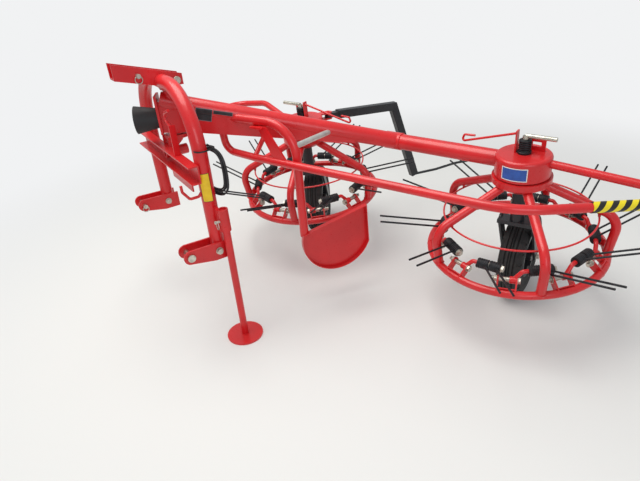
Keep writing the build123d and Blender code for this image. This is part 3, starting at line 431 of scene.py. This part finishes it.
def matte(name, low, high, rough, grain_mm, depth):
    """Make a dull moulded surface with dust in its grain."""
    material, tree, surface, place = start_material(name)
    cloud = add_node(
        tree, "ShaderNodeTexNoise", {"Vector": place, "Scale": per_metre(45), "Detail": 6.0, "Roughness": 0.65}
    )
    grain = add_node(
        tree, "ShaderNodeTexNoise", {"Vector": place, "Scale": per_metre(grain_mm), "Detail": 3.0}
    )
    tint = spread(tree, (cloud, "Fac"), low, high, 0.35, 0.75)
    tree.links.new(tint[0].outputs[0], surface.inputs["Base Color"])
    dull = spread(tree, (cloud, "Fac"), grey(rough), grey(min(rough + 0.2, 1)))
    tree.links.new(dull[0].outputs[0], surface.inputs["Roughness"])
    bump = add_node(tree, "ShaderNodeBump", {"Height": (grain, "Fac"), "Strength": 0.25, "Distance": depth})
    tree.links.new(bump.outputs["Normal"], surface.inputs["Normal"])
    return material


braided_cord = matte("braided_polyester_cord", linear("#121214"), linear("#3A3A3E"), 0.65, 1.2, 0.0005)
tyre_rubber = matte("tyre_rubber", linear("#17181A"), linear("#3B3A38"), 0.7, 2, 0.0006)
shield_plastic = matte("shield_plastic", linear("#141416"), linear("#242527"), 0.5, 1.5, 0.0003)
print("dull finishes:", tyre_rubber.name, shield_plastic.name)

# %% [markdown]
# The ends of the guard carry a marking sleeve with yellow and black bands that run round the tube
# like a screw thread. On a straight sleeve that is one formula: the angle round its axis plus the
# way along it, cut in two. The sleeve's own axis is found from the corners of its solid.

# %% Banded sleeve
band_pitch = 0.046
band_starts = -2


def banded(name, node):
    """Make a yellow and black helical band that follows the straight tube of a node."""
    material, tree, surface, place = start_material(name, Roughness=0.42)
    points = [vertex.co for vertex in nodes[node].data.vertices]
    middle = sum(points, Vector()) / len(points)
    far_point = max(points, key=lambda point: (point - middle).length)
    half = [point for point in points if (point - middle).dot(far_point - middle) > 0]
    end = sum(half, Vector()) / len(half)
    along = (end - middle).normalized()
    across = along.cross(Vector((0, 0, 1))).normalized()
    upward = along.cross(across)
    moved = add_node(tree, "ShaderNodeVectorMath", {0: place, 1: tuple(-middle)}, operation="ADD")
    ways = [
        add_node(tree, "ShaderNodeVectorMath", {0: (moved, 0), 1: tuple(way)}, operation="DOT_PRODUCT")
        for way in (along, across, upward)
    ]
    angle = add_node(
        tree, "ShaderNodeMath", {0: (ways[1], "Value"), 1: (ways[2], "Value")}, operation="ARCTAN2"
    )
    turns = add_node(tree, "ShaderNodeMath", {0: (angle, 0), 1: band_starts / math.tau}, operation="MULTIPLY")
    runs = add_node(tree, "ShaderNodeMath", {0: (ways[0], "Value"), 1: 1 / band_pitch}, operation="MULTIPLY")
    total = add_node(tree, "ShaderNodeMath", {0: (turns, 0), 1: (runs, 0)}, operation="ADD")
    part = add_node(tree, "ShaderNodeMath", {0: (total, 0)}, operation="FRACT")
    band = add_node(tree, "ShaderNodeMath", {0: (part, 0), 1: 0.5}, operation="GREATER_THAN")
    colour = spread(tree, (band, 0), linear("#E8D21C"), linear("#1A1A1C"), 0.45, 0.55)
    tree.links.new(colour[0].outputs[0], surface.inputs["Base Color"])
    return material


banded_near = banded("banded_sleeve_near", "end_sleeve_near")
banded_far = banded("banded_sleeve_far", "end_sleeve_far")
print("bands every", band_pitch, "m")

# %% [markdown]
# Each solid now gets its finish by assigning to its material slots. The mesh itself is not touched.

# %% Finishes on the solids
for piece in (hank, knot):
    piece.data.materials.append(braided_cord)
tie.data.materials.append(shield_plastic)
finish_of_slot = {
    "red_paint": red_enamel,
    "black_paint": black_enamel,
    "black_tine": spring_steel,
    "zinc": zinc_plate,
    "bare_steel": turned_steel,
    "tyre": tyre_rubber,
    "rim": black_enamel,
    "guard_plastic": shield_plastic,
    "cord": shield_plastic,
}
slot_of_node = {row["node"]: row["material_slot"] for row in record["subparts"]}


def dress(node, material):
    """Give every slot of a solid one material."""
    shape = nodes[node]
    shape.data.materials.clear()
    shape.data.materials.append(material)


for node in nodes:
    dress(node, finish_of_slot.get(slot_of_node[node], red_enamel))
dress("end_sleeve_near", banded_near)
dress("end_sleeve_far", banded_far)
dress("brace_bar", galvanised)
print("dressed:", len(nodes))

# %% [markdown]
# Three tools do the handwork. A lathe draws a profile by extruding one vertex from point to point
# and spins it. A finisher shades a piece, lays its mesh in place and lets it ride on a body. A
# gatherer copies one finished part to many places as a single mesh. Four short functions give the
# turns and moves that put a part in its place.

# %% Handwork tools


def lathe(name, profile, steps):
    """Spin a closed profile of (radius, height) points round the Z axis."""
    bpy.ops.object.select_all(action="DESELECT")
    bpy.context.tool_settings.mesh_select_mode = (True, False, False)
    bpy.ops.mesh.primitive_plane_add(size=MM, location=(0, 0, 0))
    piece = bpy.context.active_object
    piece.name = name
    bpy.ops.object.mode_set(mode="EDIT")
    bpy.ops.mesh.merge(type="CENTER")
    bpy.ops.mesh.select_all(action="SELECT")
    bpy.ops.transform.translate(value=(profile[0][0] * MM, 0, profile[0][1] * MM))
    for here, there in zip(profile, profile[1:] + profile[:1]):
        step = ((there[0] - here[0]) * MM, 0, (there[1] - here[1]) * MM)
        bpy.ops.mesh.extrude_region_move(TRANSFORM_OT_translate={"value": step})
    bpy.ops.mesh.select_all(action="SELECT")
    bpy.ops.mesh.remove_doubles(threshold=MM / 100)
    bpy.ops.mesh.spin(steps=steps, angle=math.tau, center=(0, 0, 0), axis=(0, 0, 1))
    bpy.ops.mesh.select_all(action="SELECT")
    bpy.ops.mesh.remove_doubles(threshold=MM / 100)
    bpy.ops.mesh.normals_make_consistent(inside=False)
    bpy.ops.object.mode_set(mode="OBJECT")
    return piece


def finish_piece(piece, place, body, slot, *materials, sharp=35):
    """Shade a piece, lay its mesh in place, and let it ride on a body with its materials."""
    bpy.ops.object.select_all(action="DESELECT")
    piece.select_set(True)
    bpy.context.view_layer.objects.active = piece
    piece.data.transform(place)
    for material in materials:
        piece.data.materials.append(material)
    bpy.ops.object.shade_smooth_by_angle(angle=math.radians(sharp))
    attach(piece, body)
    return piece


def gather(name, template, places):
    """Copy a template's mesh to many places as one mesh, and remove the template."""
    joined = bmesh.new()
    for place in places:
        copy = template.data.copy()
        copy.transform(place)
        joined.from_mesh(copy)
        bpy.data.meshes.remove(copy)
    mesh = bpy.data.meshes.new(name)
    joined.to_mesh(mesh)
    joined.free()
    bpy.data.objects.remove(template)
    piece = bpy.data.objects.new(name, mesh)
    scene.collection.objects.link(piece)
    return piece


def turn_z(degrees):
    """Give a turn about Z in degrees."""
    return Matrix.Rotation(math.radians(degrees), 4, "Z")


def shift(x, y, z):
    """Give a move by millimetres."""
    return Matrix.Translation((x * MM, y * MM, z * MM))


def lay_along_x(way):
    """Give the turn that lays Z along X, or against it where way is -1."""
    return Matrix.Rotation(math.radians(90 * way), 4, "Y")


def lay_along_y(way):
    """Give the turn that lays Z along Y, or against it where way is -1."""
    return Matrix.Rotation(math.radians(-90 * way), 4, "X")


# %% [markdown]
# A ribbed implement tyre has a few broad ribs with deep grooves between them, rounded shoulders
# with short notches, and a sidewall that bulges out over the rim with a moulded ring on it. The
# profile is spun, and then the notches are pressed in by choosing faces by their place.

# %% Tyres
tread_profile = [
    (101.7, -42), (112, -43), (118, -46), (132, -51), (146, -53), (148, -54.5), (151, -54.5), (153, -54),
    (168, -55.5), (182, -54), (193, -50), (199, -44), (202.5, -36),
    (203.5, -33), (203.5, -26), (197, -24.5), (197, -20), (204.5, -18.5),
    (204.8, -9), (198, -7.5), (198, -3), (205, -1.5),
]
tread_profile += [(radius, -across) for radius, across in reversed(tread_profile)]
tread_steps = 96
notch_every = 4
notch_depth = 3.5
notch_inner_radius = 186
notch_inner_edge = 33
for side in sides:
    tyre = lathe("ribbed_tyre_" + side, tread_profile, tread_steps)
    bpy.ops.object.mode_set(mode="EDIT")
    bpy.ops.mesh.select_all(action="DESELECT")
    shape = bmesh.from_edit_mesh(tyre.data)
    shape.select_mode = {"FACE"}
    bpy.context.tool_settings.mesh_select_mode = (False, False, True)
    for face in shape.faces:
        middle = face.calc_center_median()
        radius = math.hypot(middle.x, middle.y) / MM
        sector = int(math.atan2(middle.y, middle.x) / math.tau * tread_steps) % notch_every
        on_shoulder = radius > notch_inner_radius and abs(middle.z) / MM > notch_inner_edge
        face.select = sector == 0 and on_shoulder
    bmesh.update_edit_mesh(tyre.data)
    bpy.ops.mesh.extrude_region_shrink_fatten(TRANSFORM_OT_shrink_fatten={"value": -notch_depth * MM})
    bpy.ops.object.mode_set(mode="OBJECT")
    finish_piece(tyre, wheel_place[side], side + "_wheel", "tyre", tyre_rubber, sharp=40)
    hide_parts("tyre_" + side)
    print(tyre.name, len(tyre.data.polygons), "faces")

# %% [markdown]
# On each side of a hub sits a pressed cap over the bearing and a hexagon nut on the axle's end. A
# nut is a six-sided cylinder whose top is inset and lowered to a washer face, with its rim bevelled.

# %% Hub caps, nuts and washers


def hexagon(name, across_flats, height, washer):
    """Make a hexagon nut or bolt head on a round washer, its foot on z = 0."""
    bpy.ops.object.select_all(action="DESELECT")
    radius = across_flats / math.sqrt(3) * MM
    bpy.ops.mesh.primitive_cylinder_add(
        vertices=6, radius=radius, depth=height * MM, location=(0, 0, (washer + height / 2) * MM)
    )
    piece = bpy.context.active_object
    piece.name = name
    bpy.ops.object.transform_apply(location=True, rotation=False, scale=False)
    bpy.ops.object.mode_set(mode="EDIT")
    shape = bmesh.from_edit_mesh(piece.data)
    for face in shape.faces:
        face.select = face.normal.z > 0.9
    bmesh.update_edit_mesh(piece.data)
    bpy.ops.mesh.inset(thickness=radius * 0.14, depth=height * 0.06 * MM)
    bpy.ops.mesh.inset(thickness=radius * 0.3, depth=-height * 0.03 * MM)
    bpy.ops.mesh.select_all(action="DESELECT")
    bpy.ops.mesh.primitive_cylinder_add(
        vertices=24, radius=radius * 1.18, depth=washer * MM, location=(0, 0, washer / 2 * MM)
    )
    bpy.ops.mesh.bevel(offset=washer * 0.2 * MM, segments=1)
    bpy.ops.object.mode_set(mode="OBJECT")
    return piece


def both_ends(place, reach):
    """Give the two places on an axle that are a reach from its middle and face outward."""
    return [place @ shift(0, 0, reach), place @ Matrix.Rotation(math.pi, 4, "X") @ shift(0, 0, reach)]


cap_profile = [(0.01, 12), (9, 12), (14, 10), (17.5, 5.5), (19, 0), (0.01, 0)]
cap_reach = 59
nut_reach = 78
for side in sides:
    cap = lathe("cap_template", cap_profile, 28)
    caps = gather("hub_caps_" + side, cap, both_ends(wheel_place[side], cap_reach))
    finish_piece(caps, Matrix(), side + "_wheel", "zinc", galvanised)
    nut = hexagon("nut_template", across_flats=24, height=10, washer=3)
    nuts = gather("axle_nuts_" + side, nut, both_ends(wheel_place[side], nut_reach))
    finish_piece(nuts, Matrix(), side + "_castor", "zinc", zinc_plate)
print("hub caps and axle nuts on both wheels")

# %% [markdown]
# A spring tine is wound from one wire. Each block is a close helix of five turns, which a Screw
# modifier winds from a circle of wire. Between the two coils of a unit a bright collar holds the
# wire, and each clevis pin ends in a bolt head and a nut.

# %% Coils, collars and clevis bolts
coil_reach = 313
coil_level = 80
coil_gap = 50
wire = 8.5
coil_pitch = wire + 0.3
coil_turns = 5
coil_face = 22.2  # half of a wound coil, and the seat of its nut
winding_radius = 18.2
collar_profile = [(12, -2.4), (15.5, -2.4), (16.2, -1.4), (16.2, 1.4), (15.5, 2.4), (12, 2.4)]
pin_reach = 327
pin_level = 40
pin_face = 39
for side in sides:
    sign = sign_of[side]
    unit_places = [
        hub_place[side] @ turn_z(pin_start[side] + sign * lever_turn + 360 / unit_count * count)
        for count in range(unit_count)
    ]
    pin_places = [
        hub_place[side] @ turn_z(pin_start[side] + 360 / unit_count * count) for count in range(unit_count)
    ]
    bpy.ops.object.select_all(action="DESELECT")
    bpy.ops.mesh.primitive_circle_add(vertices=8, radius=wire / 2 * MM, location=(0, 0, 0))
    coil = bpy.context.active_object
    bpy.ops.object.mode_set(mode="EDIT")
    bpy.ops.transform.rotate(value=math.pi / 2, orient_axis="X", center_override=(0, 0, 0))
    bpy.ops.transform.translate(value=(winding_radius * MM, 0, -coil_turns / 2 * coil_pitch * MM))
    bpy.ops.object.mode_set(mode="OBJECT")
    winder = coil.modifiers.new("winding", "SCREW")
    winder.angle = math.tau
    winder.iterations = coil_turns
    winder.screw_offset = coil_pitch * MM
    winder.steps = winder.render_steps = 20
    bpy.ops.object.modifier_apply(modifier=winder.name)
    bpy.ops.object.mode_set(mode="EDIT")
    bpy.ops.mesh.select_all(action="SELECT")
    bpy.ops.mesh.remove_doubles(threshold=MM / 50)
    bpy.ops.mesh.normals_make_consistent(inside=False)
    bpy.ops.object.mode_set(mode="OBJECT")
    coil_places = [
        unit @ shift(coil_reach, edge * coil_gap / 2, coil_level) @ lay_along_y(1)
        for unit in unit_places for edge in (-1, 1)
    ]
    coils = gather("spring_coils_" + side, coil, coil_places)
    finish_piece(coils, Matrix(), side + "_rotor", "black_tine", spring_steel, sharp=60)

    collar = lathe("collar_template", collar_profile, 24)
    collars = gather("coil_collars_" + side, collar, [
        unit @ shift(coil_reach, 0, coil_level) @ lay_along_y(1) for unit in unit_places
    ])
    finish_piece(collars, Matrix(), side + "_rotor", "zinc", zinc_plate)

    end_nut = hexagon("end_nut_template", across_flats=24, height=9, washer=3)
    end_face = coil_gap / 2 + coil_face
    end_nuts = gather("coil_end_nuts_" + side, end_nut, [
        unit @ shift(coil_reach, sign * end_face, coil_level) @ lay_along_y(sign) for unit in unit_places
    ])
    finish_piece(end_nuts, Matrix(), side + "_rotor", "zinc", zinc_plate)

    head = hexagon("pin_head_template", across_flats=24, height=9, washer=2)
    bolts = gather("clevis_bolts_" + side, head, [
        pin @ shift(pin_reach, way * sign * pin_face, pin_level) @ lay_along_y(way * sign)
        for pin in pin_places for way in (1, -1)
    ])
    finish_piece(bolts, Matrix(), side + "_rotor", "zinc", zinc_plate)
print("wound", 4 * unit_count, "coils of", coil_turns, "turns")

# %% [markdown]
# The link brackets are clamped to the legs by a bolt each, and the top link's bracket by one behind
# the arch. The jack leg is held in its sleeve by a pin with a wire ring. These are the small bright
# parts that catch the eye on red paint, so each gets a real head, washer or ring.

# %% Bolts and pins of the headstock
plate_face = 38
bracket_bolt_ahead = -45
bracket_bolt_level = 458
top_face = 36
top_bolt_behind = 28
top_bolt_level = 1114
bracket_bolt = hexagon("bracket_bolt_template", across_flats=24, height=10, washer=3)
bolt_places = [
    head_place
    @ shift(edge * leg_out + way * plate_face, bracket_bolt_ahead, bracket_bolt_level)
    @ lay_along_x(way)
    for edge in (-1, 1) for way in (-1, 1)
] + [
    head_place @ shift(way * top_face, top_bolt_behind, top_bolt_level) @ lay_along_x(way)
    for way in (-1, 1)
]
finish_piece(gather("headstock_bolts", bracket_bolt, bolt_places), Matrix(), "headstock", "zinc", zinc_plate)

jack_out = 408
jack_pin_profile = [(0.01, -1), (6, -1), (6, 14), (8, 15), (8, 19), (6, 21), (0.01, 21)]
jack_pin_front = -31
jack_pin_level = 604
jack_ring_front = -42
jack_ring_level = 590
jack_pin_place = head_place @ shift(jack_out, jack_pin_front, jack_pin_level) @ lay_along_y(-1)
jack_ring_place = head_place @ shift(jack_out, jack_ring_front, jack_ring_level) @ lay_along_y(-1)
jack_ring_radius = 16
jack_ring_wire = 1.8
jack_pin = lathe("jack_pin", jack_pin_profile, 24)
finish_piece(jack_pin, jack_pin_place, "headstock", "zinc", zinc_plate)
bpy.ops.object.select_all(action="DESELECT")
bpy.ops.mesh.primitive_torus_add(
    major_radius=jack_ring_radius * MM, minor_radius=jack_ring_wire * MM, major_segments=36, minor_segments=8
)
jack_ring = bpy.context.active_object
jack_ring.name = "jack_pin_ring"
jack_ring.data.transform(Matrix.Diagonal((0.85, 1.2, 1, 1)))
finish_piece(jack_ring, jack_ring_place, "headstock", "zinc", zinc_plate)
print("headstock bolts:", len(bolt_places))

# %% [markdown]
# Where tubes meet, the welder leaves a small rippled bead. A bead is a thin torus whose sections
# swell in turn, painted over with the frame's red.

# %% Weld beads
ripple_share = 0.22


def bead(name, radius, thick, ripples):
    """Make a rippled weld ring round the Z axis."""
    bpy.ops.object.select_all(action="DESELECT")
    bpy.ops.mesh.primitive_torus_add(
        major_radius=radius * MM, minor_radius=thick * MM, major_segments=ripples * 4, minor_segments=8
    )
    piece = bpy.context.active_object
    piece.name = name
    for vertex in piece.data.vertices:
        around = math.atan2(vertex.co.y, vertex.co.x)
        core = Vector((math.cos(around), math.sin(around), 0)) * radius * MM
        vertex.co = core + (vertex.co - core) * (1 + ripple_share * math.sin(ripples * around))
    return piece


foot_reach = 373.5
foot_level = 11
socket_faces = (-60, 24)
for side in sides:
    foot = bead("foot_template", radius=19.5, thick=3.2, ripples=12)
    feet = gather("spoke_welds_" + side, foot, [
        hub_place[side]
        @ turn_z(spoke_start[side] + 360 / spoke_count * count)
        @ shift(foot_reach, 0, foot_level)
        for count in range(spoke_count)
    ])
    finish_piece(feet, Matrix(), side + "_rotor", "red_paint", red_enamel, sharp=60)
beam_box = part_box("cross_tube_near")
beam_middle = (Vector(beam_box[0]) + Vector(beam_box[1])) / 2
socket = bead("socket_template", radius=37.5, thick=3.5, ripples=22)
socket_beads = gather("socket_welds", socket, [
    Matrix.Translation((x * MM, beam_middle.y, beam_middle.z)) @ lay_along_x(1) for x in socket_faces
])
finish_piece(socket_beads, Matrix(), "frame", "red_paint", red_enamel, sharp=60)
print("weld beads on spokes and socket")

# %% [markdown]
# Stickers are thin sheets that follow what they are stuck to. Each is a small grid that is bent to
# the drum or the leg, or lies flat on the web. The border is a ring of faces with its own ink.

# %% Stickers


def ink(name, low, high, rough):
    """Make printed vinyl: even colour that has faded a little, with a soft sheen."""
    material, tree, surface, place = start_material(name)
    fade = add_node(tree, "ShaderNodeTexNoise", {"Vector": place, "Scale": per_metre(25), "Detail": 4.0})
    tint = spread(tree, (fade, "Fac"), low, high)
    tree.links.new(tint[0].outputs[0], surface.inputs["Base Color"])
    dull = spread(tree, (fade, "Fac"), grey(rough), grey(rough + 0.15))
    tree.links.new(dull[0].outputs[0], surface.inputs["Roughness"])
    return material


white_ink = ink("white_vinyl", linear("#D9DAD6"), linear("#EEEEEA"), 0.4)
blue_ink = ink("blue_vinyl", linear("#1F4794"), linear("#2C5BB0"), 0.35)
yellow_ink = ink("yellow_vinyl", linear("#E3B70F"), linear("#F2CB22"), 0.4)
grey_ink = ink("grey_vinyl", linear("#5C5E62"), linear("#75777B"), 0.4)
black_ink = ink("black_vinyl", linear("#17181B"), linear("#26282C"), 0.35)
sticker_lift = 0.5


def sticker(name, width, height, border, bend):
    """Make a bordered sheet in its own flat coordinates and bend it with a function of them."""
    bpy.ops.object.select_all(action="DESELECT")
    bpy.ops.mesh.primitive_plane_add(size=1, location=(0, 0, 0))
    piece = bpy.context.active_object
    piece.name = name
    bpy.ops.object.mode_set(mode="EDIT")
    bpy.ops.transform.resize(value=(width, height, 1))
    bpy.ops.mesh.inset(thickness=border)
    bpy.ops.mesh.select_all(action="DESELECT")
    bpy.ops.object.mode_set(mode="OBJECT")
    inner = max(range(len(piece.data.polygons)), key=lambda count: piece.data.polygons[count].area)
    piece.data.polygons[inner].material_index = 1
    bpy.ops.object.mode_set(mode="EDIT")
    bpy.ops.mesh.select_all(action="SELECT")
    bpy.ops.mesh.subdivide(number_cuts=11)
    bpy.ops.object.mode_set(mode="OBJECT")
    for vertex in piece.data.vertices:
        vertex.co = Vector(bend(vertex.co.x, vertex.co.y)) * MM
    bpy.ops.object.mode_set(mode="EDIT")
    bpy.ops.mesh.select_all(action="SELECT")
    bpy.ops.mesh.normals_make_consistent(inside=False)
    bpy.ops.object.mode_set(mode="OBJECT")
    wall = piece.modifiers.new("sheet", "SOLIDIFY")
    wall.thickness = sticker_lift * MM
    wall.offset = 0
    bpy.ops.object.modifier_apply(modifier=wall.name)
    return piece


def round_tube(radius, middle_angle, middle_height):
    """Give the bend that wraps a sheet round an upright tube."""
    def bend(x, y):
        angle = math.radians(middle_angle) + x / radius
        reach = radius + sticker_lift
        return (reach * math.cos(angle), reach * math.sin(angle), middle_height + y)
    return bend


drum_bend = round_tube(radius=112, middle_angle=-88, middle_height=397)
drum_sticker = sticker("drum_plate", width=106, height=56, border=3.5, bend=drum_bend)
finish_piece(drum_sticker, hub_place["near"], "frame", "red_paint", white_ink, blue_ink)
leg_bend = round_tube(radius=leg_radius, middle_angle=-25, middle_height=746)
leg_sticker = sticker("leg_plate", width=44, height=122, border=2, bend=leg_bend)
leg_place = head_place @ shift(leg_out, -35, 0)
finish_piece(leg_sticker, leg_place, "headstock", "red_paint", black_ink, yellow_ink)


def on_web(run, level, slope):
    """Give the bend that lays a sheet on the arm's web, turned to follow the arm."""
    def bend(x, y):
        lean = math.radians(slope)
        across = x * math.cos(lean) - y * math.sin(lean)
        along = x * math.sin(lean) + y * math.cos(lean)
        off_centre = level + along - (arm_front_height - arm_fall * (run + across))
        bulge = math.sqrt(max(arm_radius ** 2 - off_centre ** 2, 0))
        return (run + across, level + along, max(web_half, bulge) + sticker_lift)
    return bend


web_half = 32
arm_radius = 38
arm_front_height = 1019
arm_fall = 0.291
arm_slope = -14
arm_bend = on_web(run=125, level=961, slope=arm_slope)
arm_sticker = sticker("arm_plate_large", width=72, height=56, border=2.5, bend=arm_bend)
finish_piece(arm_sticker, arm_place, "frame", "red_paint", grey_ink, black_ink)
strip_bend = on_web(run=209, level=958, slope=arm_slope)
strip_sticker = sticker("arm_plate_strip", width=84, height=17, border=1.5, bend=strip_bend)
finish_piece(strip_sticker, arm_place, "frame", "red_paint", grey_ink, black_ink)
print("stickers:", 4)

# %% [markdown]
# The height screw ends in a stack of dark washers under its pale handle, on a flanged nut. The
# whole stack is one lathed profile whose radius steps in and out.

# %% Height screw stacks
washer_count = 6
washer_pitch = 8
first_washer = 458.5
stack_profile = [(12.5, 447), (27, 447), (28, 449), (28, 456), (26, 458), (19, 458)]
for count in range(washer_count):
    foot = first_washer + count * washer_pitch
    stack_profile += [(19, foot), (24, foot + 1), (25, foot + 3.5), (24, foot + 6), (19, foot + 7)]
stack_profile += [(12.5, 508)]
for side in sides:
    stack = lathe("washer_stack_" + side, stack_profile, 32)
    finish_piece(stack, hub_place[side], "frame", "black_tine", spring_steel, sharp=40)
print("washer stacks:", 2)

# %% [markdown]
# The floor is a plain pale sheet, and it isn't part of the machine. It takes
# the machine's shadow near the middle, and fades into the white of the backdrop further out, so
# that no horizon shows.

# %% Floor
fade_start = 1.4
fade_end = 3.6
bpy.ops.object.select_all(action="DESELECT")
bpy.ops.mesh.primitive_plane_add(size=80, location=(0, 0, 0))
floor = bpy.context.active_object
floor.name = "floor"
floor_paint, floor_tree, floor_surface, floor_place = start_material("pale_floor", Roughness=0.85)
floor_surface.inputs["Base Color"].default_value = linear("#E2E2DF")
away = add_node(floor_tree, "ShaderNodeVectorMath", {0: floor_place}, operation="LENGTH")
fade = add_node(
    floor_tree, "ShaderNodeMapRange",
    {"Value": (away, "Value"), "From Min": fade_start, "From Max": fade_end}, interpolation_type="SMOOTHSTEP",
)
seen = add_node(floor_tree, "ShaderNodeLightPath")
share = add_node(
    floor_tree, "ShaderNodeMath", {0: (fade, "Result"), 1: (seen, "Is Camera Ray")}, operation="MULTIPLY"
)
glow = add_node(floor_tree, "ShaderNodeEmission", {"Color": backdrop_white, "Strength": 1.0})
mixed = add_node(
    floor_tree, "ShaderNodeMixShader", {0: (share, 0), 1: (floor_surface, "BSDF"), 2: (glow, "Emission")}
)
floor_tree.links.new(mixed.outputs[0], floor_tree.nodes["Material Output"].inputs["Surface"])
floor.data.materials.append(floor_paint)
print("floor:", floor.dimensions[:2])

# %% Last update of the scene
bpy.context.view_layer.update()
